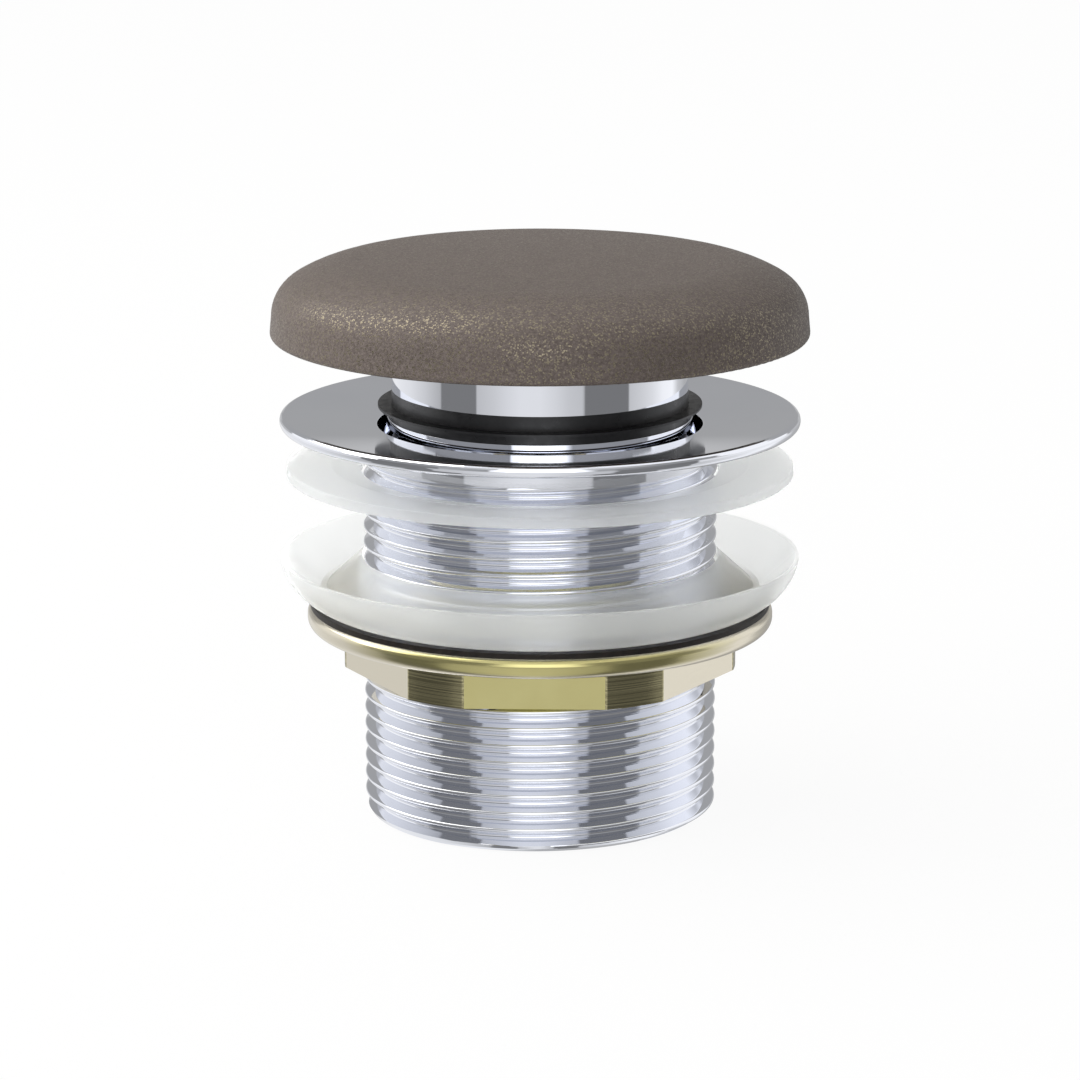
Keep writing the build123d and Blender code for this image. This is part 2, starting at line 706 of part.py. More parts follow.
# Taper washer: a dish with a bulging tapered side and a cone round the thread
taper_top = flange_washer_bottom - WALL_GAP
taper_bottom = taper_top - TAPER_HEIGHT
taper_valley = taper_bottom + TAPER_FLOOR
taper_rim_radius = FLANGE_RADIUS
taper_foot_radius = slip_radius - TAPER_FOOT_INSET
taper_valley_middle = (washer_bore + taper_rim_radius - TAPER_RIM_WIDTH) / 2
taper_side_middle = (
    (taper_rim_radius + taper_foot_radius) / 2 + TAPER_SIDE_BULGE,
    (taper_top - TAPER_RIM_DEPTH + taper_bottom) / 2 - TAPER_SIDE_BULGE,
)

with BuildPart() as taper_washer:
    with BuildSketch(Plane.XZ):
        with BuildLine():
            taper_side = ThreePointArc(
                (taper_foot_radius, taper_bottom),
                taper_side_middle,
                (taper_rim_radius, taper_top - TAPER_RIM_DEPTH),
            )
            Polyline(
                taper_side @ 1,
                (taper_rim_radius, taper_top),
                (taper_rim_radius - TAPER_RIM_WIDTH, taper_top),
                (taper_valley_middle + TAPER_VALLEY_WIDTH / 2, taper_valley),
                (taper_valley_middle - TAPER_VALLEY_WIDTH / 2, taper_valley),
                (washer_bore, taper_top),
                (washer_bore, taper_bottom),
                taper_side @ 0,
            )
        make_face()
    revolve(axis=Axis.Z)
finish(taper_washer, "taper_washer")

# Slip washer between the taper washer and the nut
nut_top = taper_bottom - SLIP_THICKNESS

with BuildPart() as slip_washer:
    add(ring(washer_bore, slip_radius, nut_top, SLIP_THICKNESS))
finish(slip_washer, "slip_washer")

# Backnut: a round flange on a hexagon with its corners turned round
nut_flange_bottom = nut_top - NUT_FLANGE_THICKNESS
nut_bottom = nut_flange_bottom - NUT_HEX_HEIGHT
nut_bore = THREAD_RADIUS + THREAD_FIT
nut_apothem = nut_bore + NUT_WALL
nut_flange_radius = slip_radius + NUT_FLANGE_OVERHANG

with BuildPart() as backnut:
    with BuildSketch(Plane.XY.offset(nut_flange_bottom)):
        Circle(nut_flange_radius)
    extrude(amount=NUT_FLANGE_THICKNESS)
    fillet(circles(backnut, nut_flange_radius), NUT_FLANGE_ROUND)
    with BuildSketch(Plane.XY.offset(nut_bottom)):
        RegularPolygon(nut_apothem, 6, major_radius=False, rotation=NUT_TURN)
        Circle(nut_apothem + NUT_CORNER_STAND, mode=Mode.INTERSECT)
    extrude(amount=NUT_HEX_HEIGHT)
    with Locations((0, 0, nut_top)):
        Hole(nut_bore, depth=NUT_FLANGE_THICKNESS + NUT_HEX_HEIGHT)
    chamfer(circles(backnut, nut_bore), NUT_BORE_BEVEL)
finish(backnut, "backnut")
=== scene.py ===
import math

import bmesh
import bpy
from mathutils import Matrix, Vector


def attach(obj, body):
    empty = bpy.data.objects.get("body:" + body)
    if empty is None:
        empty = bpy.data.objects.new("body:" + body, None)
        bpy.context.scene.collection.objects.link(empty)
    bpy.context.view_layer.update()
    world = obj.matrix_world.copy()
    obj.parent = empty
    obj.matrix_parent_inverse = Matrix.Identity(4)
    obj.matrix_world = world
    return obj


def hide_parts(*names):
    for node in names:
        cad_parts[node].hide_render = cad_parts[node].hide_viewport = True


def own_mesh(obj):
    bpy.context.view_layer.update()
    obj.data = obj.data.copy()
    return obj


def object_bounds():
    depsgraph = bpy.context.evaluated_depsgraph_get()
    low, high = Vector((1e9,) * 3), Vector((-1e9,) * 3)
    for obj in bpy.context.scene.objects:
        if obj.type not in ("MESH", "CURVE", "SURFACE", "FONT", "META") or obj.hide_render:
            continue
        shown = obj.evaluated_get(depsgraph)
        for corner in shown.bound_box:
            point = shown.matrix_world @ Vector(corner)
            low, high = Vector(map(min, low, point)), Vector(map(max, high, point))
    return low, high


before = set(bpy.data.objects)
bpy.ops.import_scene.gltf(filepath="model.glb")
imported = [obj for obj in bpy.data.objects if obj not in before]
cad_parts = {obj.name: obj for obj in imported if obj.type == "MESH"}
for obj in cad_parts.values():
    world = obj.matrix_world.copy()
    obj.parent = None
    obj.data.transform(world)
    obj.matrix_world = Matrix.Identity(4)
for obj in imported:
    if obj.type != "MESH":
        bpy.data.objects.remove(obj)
cad_low, cad_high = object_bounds()

MM = 0.001
TURN = 2 * math.pi

# How fine the meshes are: steps round the axis, steps in an arc, and where a flat is held flat
AROUND = 176
NUT_AROUND = 192
BOSS_AROUND = 96
ARC_STEPS = 4
EDGE_STEPS = 5
RIM_STEPS = 9
CORNER_STEPS = 8
WIRE_AROUND = 10
COIL_STEPS = 32
HOLD = 0.03

# Points nearer than this are joined, in metres: the thread leaves slivers where the tube ends
JOIN = 0.000002
BODY_JOIN = 0.00002

# The G 1 1/2 thread, in millimetres: right-handed, with its crests where the photo has them
PITCH = 25.4 / 11
CREST = 47.803 / 2
DEPTH = 0.6403 * PITCH
FRONT_CREST = -33.0
THREAD_TOP = -2.6
RUN_OUT = 0.5

# Waste body: tube, bore and dished flange, whose seat is at height 0
TUBE_END = -52.25
END_CHAMFER = 0.7
CHAMFER_HEIGHT = 1.1
TUBE_BORE = CREST - 3.3
SEAL_BORE = TUBE_BORE + 1.3
SEAL_BORE_END = -6.4
BORE_STEP = 1.3
FLANGE_RADIUS = 35.1
RIM_LOW = 1.10
RIM_TOP = 2.67
RIM_ROUND = 0.74
HOLE_PLANE = 1.28
SEAT_RADIUS = CREST + 4.3
EDGE_ROUND = 0.3
BORE_ROUND = 0.2
END_ROUND = 0.4

# Bridge
BRIDGE_TOP = -36.0
BRIDGE_HEIGHT = 6.0
BOSS_BORE = 7.0
BOSS_RADIUS = 10.0
BOSS_BORE_ROUND = 0.15
BOSS_ROUND = 0.3
ARM_WIDTH = 3.6
ARM_ROUND = 0.8
ARM_EDGE = 0.3
ARM_IN_BOSS = 0.5
ARM_IN_WALL = 0.4

# Backnut
NUT_TOP = -23.75
NUT_FLANGE_BOTTOM = -26.51
NUT_BOTTOM = -32.14
NUT_BORE = CREST + 0.1
NUT_APOTHEM = NUT_BORE + 0.87
NUT_CORNER = NUT_APOTHEM + 1.77
NUT_FLANGE_RADIUS = 31.6
NUT_RIM_ROUND = 1.15
NUT_EDGE = 0.4
NUT_OVERLAP = 0.2
NUT_TURN = -91.65

# Spring with the plug raised, and how far it is squeezed
SPRING_BOTTOM = -46.5
SPRING_TOP = -26.87
SPRING_RADIUS = 4.2
SPRING_TURNS = 9
WIRE = 0.45
COIL_GAP = 0.05

# Stage and camera, in metres and degrees
FLOOR_HALF = 3.0
FLOOR_DROP = 0.0002
FLOOR_GLOW = 0.93
CAMERA_SENSOR = 36.0
CAMERA_LENS = 149.0
CAMERA_TARGET = Vector((0, 0, -0.0152))
CAMERA_ANGLE = 13.32
CAMERA_DISTANCE = 0.6067


# Node helpers

def new_material(name):
    mat = bpy.data.materials.new(name)
    mat.use_nodes = True
    nodes = mat.node_tree.nodes
    nodes.clear()
    out = nodes.new("ShaderNodeOutputMaterial")
    return mat, nodes, mat.node_tree.links, out


def principled(nodes, links, out, **values):
    shader = nodes.new("ShaderNodeBsdfPrincipled")
    for name, value in values.items():
        shader.inputs[name.replace("_", " ")].default_value = value
    links.new(shader.outputs[0], out.inputs["Surface"])
    return shader


def feed(links, socket, value):
    """Links an output to a socket, or sets a plain value on it."""
    if isinstance(value, bpy.types.NodeSocket):
        links.new(value, socket)
    else:
        socket.default_value = value


def sums(nodes, links, operation, *values):
    """A Math node, fed with outputs or plain values."""
    node = nodes.new("ShaderNodeMath")
    node.operation = operation
    for socket, value in zip(node.inputs, values):
        feed(links, socket, value)
    return node.outputs[0]


def mixed(nodes, links, factor, first, second, mode="MIX"):
    """A colour mix, fed with outputs or plain values."""
    node = nodes.new("ShaderNodeMix")
    node.data_type = "RGBA"
    node.blend_type = mode
    feed(links, node.inputs["Factor"], factor)
    feed(links, node.inputs["A"], first)
    feed(links, node.inputs["B"], second)
    return node.outputs["Result"]


def shader_mix(nodes, links, factor, first, second):
    node = nodes.new("ShaderNodeMixShader")
    feed(links, node.inputs[0], factor)
    links.new(first, node.inputs[1])
    links.new(second, node.inputs[2])
    return node.outputs[0]


def coordinates(nodes, links, scale=(1, 1, 1), turned=False):
    """Object coordinates, scaled; with turned they become angle, radius and height about the axis."""
    coord = nodes.new("ShaderNodeTexCoord")
    source = coord.outputs["Object"]
    if turned:
        split = nodes.new("ShaderNodeSeparateXYZ")
        links.new(source, split.inputs[0])
        angle = sums(nodes, links, "ARCTAN2", split.outputs[0], split.outputs[1])
        flat = nodes.new("ShaderNodeVectorMath")
        flat.operation = "MULTIPLY"
        flat.inputs[1].default_value = (1, 1, 0)
        links.new(source, flat.inputs[0])
        radius = nodes.new("ShaderNodeVectorMath")
        radius.operation = "LENGTH"
        links.new(flat.outputs[0], radius.inputs[0])
        join = nodes.new("ShaderNodeCombineXYZ")
        links.new(angle, join.inputs[0])
        links.new(radius.outputs["Value"], join.inputs[1])
        links.new(split.outputs[2], join.inputs[2])
        source = join.outputs[0]
    mapping = nodes.new("ShaderNodeMapping")
    mapping.inputs["Scale"].default_value = scale
    links.new(source, mapping.inputs["Vector"])
    return mapping.outputs[0]


def noise(nodes, links, vector, scale, detail=2.0, roughness=0.5):
    tex = nodes.new("ShaderNodeTexNoise")
    tex.inputs["Scale"].default_value = scale
    tex.inputs["Detail"].default_value = detail
    tex.inputs["Roughness"].default_value = roughness
    links.new(vector, tex.inputs["Vector"])
    return tex.outputs["Fac"]


def spread(nodes, links, value, low, high, from_low=0.3, from_high=0.7):
    """Maps a texture value to a range."""
    remap = nodes.new("ShaderNodeMapRange")
    remap.inputs["From Min"].default_value = from_low
    remap.inputs["From Max"].default_value = from_high
    remap.inputs["To Min"].default_value = low
    remap.inputs["To Max"].default_value = high
    links.new(value, remap.inputs["Value"])
    return remap.outputs["Result"]


def colours(nodes, links, value, stops):
    ramp = nodes.new("ShaderNodeValToRGB")
    elements = ramp.color_ramp.elements
    while len(elements) < len(stops):
        elements.new(0.5)
    for element, (place, colour) in zip(elements, stops):
        element.position = place
        element.color = (*colour, 1)
    links.new(value, ramp.inputs["Fac"])
    return ramp.outputs["Color"]


def bump(nodes, links, shader, height, strength, distance):
    node = nodes.new("ShaderNodeBump")
    node.inputs["Strength"].default_value = strength
    node.inputs["Distance"].default_value = distance
    links.new(height, node.inputs["Height"])
    links.new(node.outputs[0], shader.inputs["Normal"])
    return node


# Materials

def metal(name, low, high, roughness, spread_by=0.02, streaks=None, strength=0.05):
    """Polished or turned metal, its tone and gloss varied by fine noise, with turning marks."""
    mat, nodes, links, out = new_material(name)
    shader = principled(nodes, links, out, Metallic=1.0, Roughness=roughness)
    cloud = noise(nodes, links, coordinates(nodes, links), 90.0, 3.0)
    links.new(colours(nodes, links, cloud, [(0.3, low), (0.7, high)]), shader.inputs["Base Color"])
    if streaks:
        marks = noise(nodes, links, coordinates(nodes, links, streaks, turned=True), 1.0, 3.0, 0.6)
        bump(nodes, links, shader, marks, strength, 0.0002)
        cloud = marks
    links.new(
        spread(nodes, links, cloud, roughness - spread_by, roughness + spread_by),
        shader.inputs["Roughness"],
    )
    return mat


chrome = metal("polished_chrome", (0.870, 0.890, 0.955), (0.890, 0.910, 0.970), 0.035, 0.01)
thread_chrome = metal("thread_chrome", (0.865, 0.885, 0.950), (0.890, 0.910, 0.970), 0.05, 0.012)
inner_chrome = metal("cartridge_chrome", (0.80, 0.81, 0.85), (0.86, 0.87, 0.91), 0.16, 0.04,
                     streaks=(1.0, 4000.0, 4000.0), strength=0.08)
steel = metal("stainless_steel", (0.52, 0.52, 0.53), (0.60, 0.60, 0.61), 0.24, 0.05,
              streaks=(1.0, 3000.0, 3000.0), strength=0.12)
inner_brass = metal("turned_brass", (0.62, 0.50, 0.25), (0.74, 0.62, 0.34), 0.24, 0.05,
                    streaks=(1.0, 3500.0, 3500.0), strength=0.12)


def cap_material():
    """Matt taupe composite: a fine mineral grain with pale metallic flecks that catch the light."""
    mat, nodes, links, out = new_material("cap_composite")
    shader = principled(nodes, links, out, Roughness=0.5, Metallic=0.0)
    shader.inputs["Specular IOR Level"].default_value = 0.2
    place = coordinates(nodes, links)
    grain = noise(nodes, links, place, 2800.0, 3.0, 0.7)
    cloud = noise(nodes, links, place, 260.0, 3.0, 0.6)
    ground = colours(nodes, links, grain, [
        (0.3, (0.080, 0.063, 0.056)),
        (0.5, (0.118, 0.096, 0.087)),
        (0.7, (0.168, 0.140, 0.126)),
    ])
    cells = nodes.new("ShaderNodeTexVoronoi")
    cells.inputs["Scale"].default_value = 5800.0
    links.new(place, cells.inputs["Vector"])
    pick = nodes.new("ShaderNodeSeparateColor")
    links.new(cells.outputs["Color"], pick.inputs[0])
    fleck = spread(nodes, links, pick.outputs[0], 0.0, 1.0, 0.78, 0.92)
    blend = mixed(nodes, links, fleck, ground, (0.255, 0.222, 0.160, 1))
    shade = colours(nodes, links, cloud, [(0.25, (0.93, 0.93, 0.93)), (0.75, (1.0, 1.0, 1.0))])
    tone = mixed(nodes, links, 1.0, blend, shade, "MULTIPLY")
    links.new(tone, shader.inputs["Base Color"])
    links.new(spread(nodes, links, fleck, 0.0, 0.9, 0, 1), shader.inputs["Metallic"])
    links.new(spread(nodes, links, fleck, 0.50, 0.28, 0, 1), shader.inputs["Roughness"])
    rough = bump(nodes, links, shader, grain, 0.25, 0.00005)
    tilt = bump(nodes, links, shader, pick.outputs[1], 0.4, 0.00005)
    links.new(rough.outputs[0], tilt.inputs["Normal"])
    return mat


def rubber_material():
    mat, nodes, links, out = new_material("black_rubber")
    shader = principled(nodes, links, out, Roughness=0.33)
    shader.inputs["Specular IOR Level"].default_value = 0.5
    place = coordinates(nodes, links)
    cloud = noise(nodes, links, place, 700.0, 4.0, 0.65)
    links.new(colours(nodes, links, cloud, [(0.3, (0.010, 0.010, 0.011)), (0.7, (0.022, 0.022, 0.024))]),
              shader.inputs["Base Color"])
    links.new(spread(nodes, links, cloud, 0.26, 0.42), shader.inputs["Roughness"])
    bump(nodes, links, shader, cloud, 0.12, 0.00006)
    return mat


def fade_in_mirrors(nodes, links, shader, output, rest):
    """Leaves little of the material where a light path output passes one half, such as in reflections."""
    path = nodes.new("ShaderNodeLightPath")
    passed = sums(nodes, links, "GREATER_THAN", path.outputs[output], 0.5)
    links.new(spread(nodes, links, passed, 1.0, rest, 0, 1), shader.inputs["Alpha"])


def milky_material():
    """Translucent milky polyethylene: what is behind shows through it, blurred and whitened."""
    mat, nodes, links, out = new_material("milky_plastic")
    shader = principled(nodes, links, out, Roughness=0.68, IOR=1.09)
    shader.inputs["Transmission Weight"].default_value = 0.9
    shader.inputs["Coat Weight"].default_value = 0.25
    shader.inputs["Coat Roughness"].default_value = 0.22
    cloud = noise(nodes, links, coordinates(nodes, links), 160.0, 3.0, 0.55)
    links.new(colours(nodes, links, cloud, [(0.3, (0.965, 0.975, 0.970)), (0.7, (0.985, 0.992, 0.988))]),
              shader.inputs["Base Color"])
    links.new(spread(nodes, links, cloud, 0.63, 0.73), shader.inputs["Roughness"])
    fade_in_mirrors(nodes, links, shader, "Glossy Depth", 0.06)
    milk = nodes.new("ShaderNodeBsdfTranslucent")
    milk.inputs["Color"].default_value = (0.97, 0.98, 0.975, 1)
    blend = shader_mix(nodes, links, 0.14, shader.outputs[0], milk.outputs[0])
    links.new(blend, out.inputs["Surface"])
    return mat


def slip_material():
    """Dull black ring, which fades in reflections and behind the washers."""
    mat, nodes, links, out = new_material("black_slip")
    shader = principled(nodes, links, out, Roughness=0.5)
    shader.inputs["Specular IOR Level"].default_value = 0.25
    place = coordinates(nodes, links)
    cloud = noise(nodes, links, place, 900.0, 3.0, 0.6)
    links.new(colours(nodes, links, cloud, [(0.3, (0.008, 0.006, 0.005)), (0.7, (0.018, 0.014, 0.011))]),
              shader.inputs["Base Color"])
    bump(nodes, links, shader, cloud, 0.15, 0.00005)
    fade_in_mirrors(nodes, links, shader, "Ray Depth", 0.05)
    return mat


def plastic_material(name, low, high, roughness):
    mat, nodes, links, out = new_material(name)
    shader = principled(nodes, links, out, Roughness=roughness)
    cloud = noise(nodes, links, coordinates(nodes, links), 500.0, 3.0, 0.6)
    links.new(colours(nodes, links, cloud, [(0.3, low), (0.7, high)]), shader.inputs["Base Color"])
    links.new(spread(nodes, links, cloud, roughness - 0.06, roughness + 0.06), shader.inputs["Roughness"])
    bump(nodes, links, shader, cloud, 0.1, 0.00004)
    return mat


def nut_material():
    """Raw brass, yellow seen square on, with a painted pale sheen mixed into its colour at a slant, and
    turning marks on the corners, where its colour is painted darker as a reflection of dark surroundings.
    """
    mat, nodes, links, out = new_material("nut_brass")
    shader = principled(nodes, links, out, Metallic=1.0, Roughness=0.2)
    turned = coordinates(nodes, links, (0.8, 6000.0, 6000.0), turned=True)
    rings = noise(nodes, links, turned, 1.0, 4.0, 0.65)
    cloud = noise(nodes, links, coordinates(nodes, links), 120.0, 3.0)
    split = nodes.new("ShaderNodeSeparateXYZ")
    links.new(coordinates(nodes, links, turned=True), split.inputs[0])
    corner = sums(nodes, links, "COMPARE", split.outputs[1], NUT_CORNER * MM, 0.1 * MM)
    yellow = colours(nodes, links, cloud, [(0.3, (0.57, 0.52, 0.235)), (0.7, (0.63, 0.58, 0.275))])
    # Painted sheen: the colour turns paler where the surface is seen at a slant, standing in for
    # reflection
    slant = nodes.new("ShaderNodeLayerWeight")
    slant.inputs["Blend"].default_value = 0.5
    painted_sheen_share = spread(nodes, links, slant.outputs["Facing"], 0.0, 1.0, 0.18, 0.48)
    yellow_and_painted_sheen = mixed(nodes, links, painted_sheen_share, yellow, (0.74, 0.69, 0.57, 1))
    # Painted reflection and real marks: the corners' colour is painted darker for the dark strips they
    # reflect, and streaked by the turning marks
    turning_marks_and_painted_dark = colours(nodes, links, rings, [(0.35, (0.20, 0.18, 0.10)), (0.65, (0.60, 0.55, 0.33))])
    links.new(mixed(nodes, links, corner, yellow_and_painted_sheen, turning_marks_and_painted_dark), shader.inputs["Base Color"])
    links.new(spread(nodes, links, rings, 0.15, 0.25), shader.inputs["Roughness"])
    marks = bump(nodes, links, shader, rings, 0.05, 0.00006)
    links.new(spread(nodes, links, corner, 0.04, 0.2, 0, 1), marks.inputs["Strength"])
    return mat


cap_composite = cap_material()
rubber = rubber_material()
milky = milky_material()
slip = slip_material()
nut_brass = nut_material()
acetal = plastic_material("natural_acetal", (0.70, 0.70, 0.67), (0.78, 0.78, 0.75), 0.32)
fibre = plastic_material("red_fibre", (0.20, 0.035, 0.022), (0.30, 0.055, 0.035), 0.6)


# Mesh helpers

def mesh_object(name, points, faces, mat, body, sharp_angle=35.0):
    """A smooth-shaded mesh piece from points in millimetres, with sharp edges kept sharp."""
    mesh = bpy.data.meshes.new(name)
    mesh.from_pydata([Vector(p) * MM for p in points], [], faces)
    mesh.validate()
    mesh.update()
    piece = bpy.data.objects.new(name, mesh)
    bpy.context.scene.collection.objects.link(piece)
    mesh.materials.append(mat)
    mesh.shade_smooth()
    mesh.set_sharp_from_angle(angle=math.radians(sharp_angle))
    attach(piece, body)
    return piece


def rounded(corners, steps=EDGE_STEPS):
    """A closed section from corners (radius, height, rounding), each rounded corner as an arc."""
    path = []
    count = len(corners)
    for i, (r, z, size) in enumerate(corners):
        here = Vector((r, z))
        if not size:
            path.append(here)
            continue
        before = Vector(corners[i - 1][:2]) - here
        after = Vector(corners[(i + 1) % count][:2]) - here
        before.normalize()
        after.normalize()
        half = before.angle(after) / 2
        reach = size / math.tan(half)
        centre = here + (before + after).normalized() * (size / math.sin(half))
        start, end = here + before * reach - centre, here + after * reach - centre
        sweep = start.angle_signed(end)
        for k in range(steps + 1):
            turn = sweep * k / steps
            c, s = math.cos(-turn), math.sin(-turn)
            path.append(centre + Vector((start.x * c - start.y * s, start.x * s + start.y * c)))
    return [(p.x, p.y) for p in path]


def held(path, closed=True):
    """Adds a point near each end of every long flat, so that its shading stays flat up to its edges."""
    points = []
    for here, ahead in zip(path, path[1:] + path[:1]):
        points.append(here)
        length = math.dist(here, ahead)
        if length > 6 * HOLD and (closed or here != path[-1]):
            for share in (HOLD / length, 1 - HOLD / length):
                points.append(tuple(a + (b - a) * share for a, b in zip(here, ahead)))
    return points


def lathe(path, around):
    """Points and faces of a closed section turned about the axis."""
    points, faces = [], []
    count = len(path)
    for i in range(around):
        angle = TURN * i / around
        for r, z in path:
            points.append((r * math.cos(angle), r * math.sin(angle), z))
    for i in range(around):
        ahead = (i + 1) % around
        for j in range(count):
            up = (j + 1) % count
            faces.append((i * count + j, ahead * count + j, ahead * count + up, i * count + up))
    return points, faces


# Waste body with its real thread

def thread_profile():
    """One pitch of the thread from crest to crest, as heights and depths below the crest."""
    rounding = 0.137329 * PITCH
    lean = math.radians(62.5)
    profile = []
    for k in range(ARC_STEPS + 1):
        a = lean * k / ARC_STEPS
        profile.append((rounding * math.sin(a), rounding * (1 - math.cos(a))))
    for k in range(2 * ARC_STEPS + 1):
        a = lean * (1 - k / ARC_STEPS)
        profile.append((PITCH / 2 - rounding * math.sin(a), DEPTH - rounding * (1 - math.cos(a))))
    for k in range(ARC_STEPS + 1):
        a = lean * (1 - k / ARC_STEPS)
        profile.append((PITCH - rounding * math.sin(a), rounding * (1 - math.cos(a))))
    return [(z / PITCH, depth) for z, depth in held(profile, closed=False)[:-1]]


def depth_at(profile, share):
    """Depth of the thread at a share of the pitch past a crest."""
    share %= 1.0
    for (low, shallow), (high, deep) in zip(profile, profile[1:] + [(1.0, 0.0)]):
        if share <= high:
            return shallow + (deep - shallow) * (share - low) / (high - low)
    return 0.0


def threaded_outside():
    """Points, faces and points per column of the tube's outside, which follows the helix."""
    profile = thread_profile()
    turns_up = math.ceil((THREAD_TOP - FRONT_CREST) / PITCH) + 1
    turns_down = math.ceil((FRONT_CREST - TUBE_END) / PITCH) + 2
    rows = [(k, u, d) for k in range(-turns_down, turns_up) for u, d in profile]
    points, faces = [], []
    for i in range(AROUND + 1):
        share = i / AROUND
        angle = TURN * share - math.pi / 2
        for k, u, depth in rows:
            z = FRONT_CREST + (k + u + share) * PITCH
            if z > THREAD_TOP - RUN_OUT:
                depth *= max(0.0, (THREAD_TOP - z) / RUN_OUT)
                z = min(THREAD_TOP, z)
            elif z < TUBE_END:
                z = TUBE_END
                depth = depth_at(profile, (z - FRONT_CREST) / PITCH - share)
            cut = END_CHAMFER * (1 - (z - TUBE_END) / CHAMFER_HEIGHT)
            r = CREST - max(depth, cut)
            points.append((r * math.cos(angle), r * math.sin(angle), z))
    count = len(rows)
    for i in range(AROUND):
        for j in range(count - 1):
            low, high = i * count + j, (i + 1) * count + j
            faces.append((low, high, high + 1, low + 1))
    return points, faces, count


def build_body():
    """The flange, neck and bore are turned, and close the threaded outside."""
    points, faces, count = threaded_outside()
    shell = held(rounded([
        (CREST, THREAD_TOP, 0),
        (CREST, 0, 0),
        (SEAT_RADIUS, 0, EDGE_ROUND),
        (FLANGE_RADIUS, RIM_LOW, RIM_ROUND),
        (FLANGE_RADIUS, RIM_TOP, RIM_ROUND),
        (SEAL_BORE, HOLE_PLANE, EDGE_ROUND),
        (SEAL_BORE, SEAL_BORE_END, BORE_ROUND),
        (TUBE_BORE, SEAL_BORE_END - BORE_STEP, BORE_ROUND),
        (TUBE_BORE, TUBE_END, END_ROUND),
        (CREST - DEPTH - 0.1, TUBE_END, 0),
    ]), closed=False)
    base, size = len(points), len(shell)
    for i in range(AROUND + 1):
        angle = TURN * i / AROUND - math.pi / 2
        points += [(r * math.cos(angle), r * math.sin(angle), z) for r, z in shell]
    for i in range(AROUND):
        here, ahead = base + i * size, base + (i + 1) * size
        faces += [(here + j + 1, ahead + j + 1, ahead + j, here + j) for j in range(size - 1)]
        faces.append((here + size - 1, ahead + size - 1, (i + 1) * count, i * count))
    return mesh_object("threaded_body", points, faces, thread_chrome, "waste", 40.0)


def weld(piece, sharp_angle=38.0, distance=JOIN):
    """Joins points that lie together, and turns every face outwards."""
    work = bmesh.new()
    work.from_mesh(piece.data)
    bmesh.ops.remove_doubles(work, verts=work.verts, dist=distance)
    bmesh.ops.dissolve_degenerate(work, edges=work.edges, dist=distance)
    bmesh.ops.recalc_face_normals(work, faces=work.faces)
    work.to_mesh(piece.data)
    work.free()
    piece.data.shade_smooth()
    piece.data.set_sharp_from_angle(angle=math.radians(sharp_angle))


def build_bridge():
    """The boss and its four arms across the tube, with the arms' top edges rounded."""
    half, low = ARM_WIDTH / 2, BRIDGE_TOP - BRIDGE_HEIGHT
    points, faces = lathe(held(rounded([
        (BOSS_BORE, low, BOSS_BORE_ROUND),
        (BOSS_RADIUS, low, BOSS_ROUND),
        (BOSS_RADIUS, BRIDGE_TOP, BOSS_ROUND),
        (BOSS_BORE, BRIDGE_TOP, BOSS_BORE_ROUND),
    ])), BOSS_AROUND)
    section = [
        (-half, low + ARM_EDGE),
        (-half + ARM_EDGE, low),
        (half - ARM_EDGE, low),
        (half, low + ARM_EDGE),
    ]
    for k in range(EDGE_STEPS + 1):
        a = math.radians(90 * k / EDGE_STEPS)
        section.append((half - ARM_ROUND * (1 - math.cos(a)), BRIDGE_TOP - ARM_ROUND * (1 - math.sin(a))))
    section += [(-y, z) for y, z in reversed(section[4:])]
    for i in range(4):
        c, s = round(math.cos(i * TURN / 4)), round(math.sin(i * TURN / 4))
        first = len(points)
        for x in (BOSS_RADIUS - ARM_IN_BOSS, TUBE_BORE + ARM_IN_WALL):
            points += [(c * x - s * y, s * x + c * y, z) for y, z in section]
        size = len(section)
        for j in range(size):
            ahead = (j + 1) % size
            faces.append((first + j, first + ahead, first + size + ahead, first + size + j))
    return mesh_object("bridge", points, faces, chrome, "waste", 30.0)


def build_backnut():
    """A round flange with a full rim, on a hexagon whose corners are turned round."""
    points, faces = lathe(held(rounded([
        (NUT_BORE, NUT_FLANGE_BOTTOM, 0),
        (NUT_FLANGE_RADIUS, NUT_FLANGE_BOTTOM, NUT_RIM_ROUND),
        (NUT_FLANGE_RADIUS, NUT_TOP, NUT_RIM_ROUND),
        (NUT_BORE, NUT_TOP, NUT_EDGE),
    ], RIM_STEPS)), NUT_AROUND)
    first = len(points)
    reach = math.acos(NUT_APOTHEM / NUT_CORNER)
    arc = TURN / 6 - 2 * reach
    angles = []
    for i in range(6):
        flat = math.radians(NUT_TURN) + TURN * i / 6
        angles += [flat + reach + arc * k / CORNER_STEPS for k in range(CORNER_STEPS + 1)]
    inside_flange = NUT_FLANGE_BOTTOM + NUT_OVERLAP
    section = [
        (NUT_CORNER, inside_flange),
        (NUT_CORNER, NUT_BOTTOM),
        (NUT_BORE + NUT_EDGE, NUT_BOTTOM),
        (NUT_BORE, NUT_BOTTOM + NUT_EDGE),
        (NUT_BORE, inside_flange),
    ]
    size = len(section)
    for angle in angles:
        c, s = math.cos(angle), math.sin(angle)
        points += [(r * c, r * s, z) for r, z in section]
    for i in range(len(angles)):
        here, ahead = first + size * i, first + size * ((i + 1) % len(angles))
        for j in range(size):
            up = (j + 1) % size
            faces.append((here + j, ahead + j, ahead + up, here + up))
    return mesh_object("brass_nut", points, faces, nut_brass, "nut", 25.0)


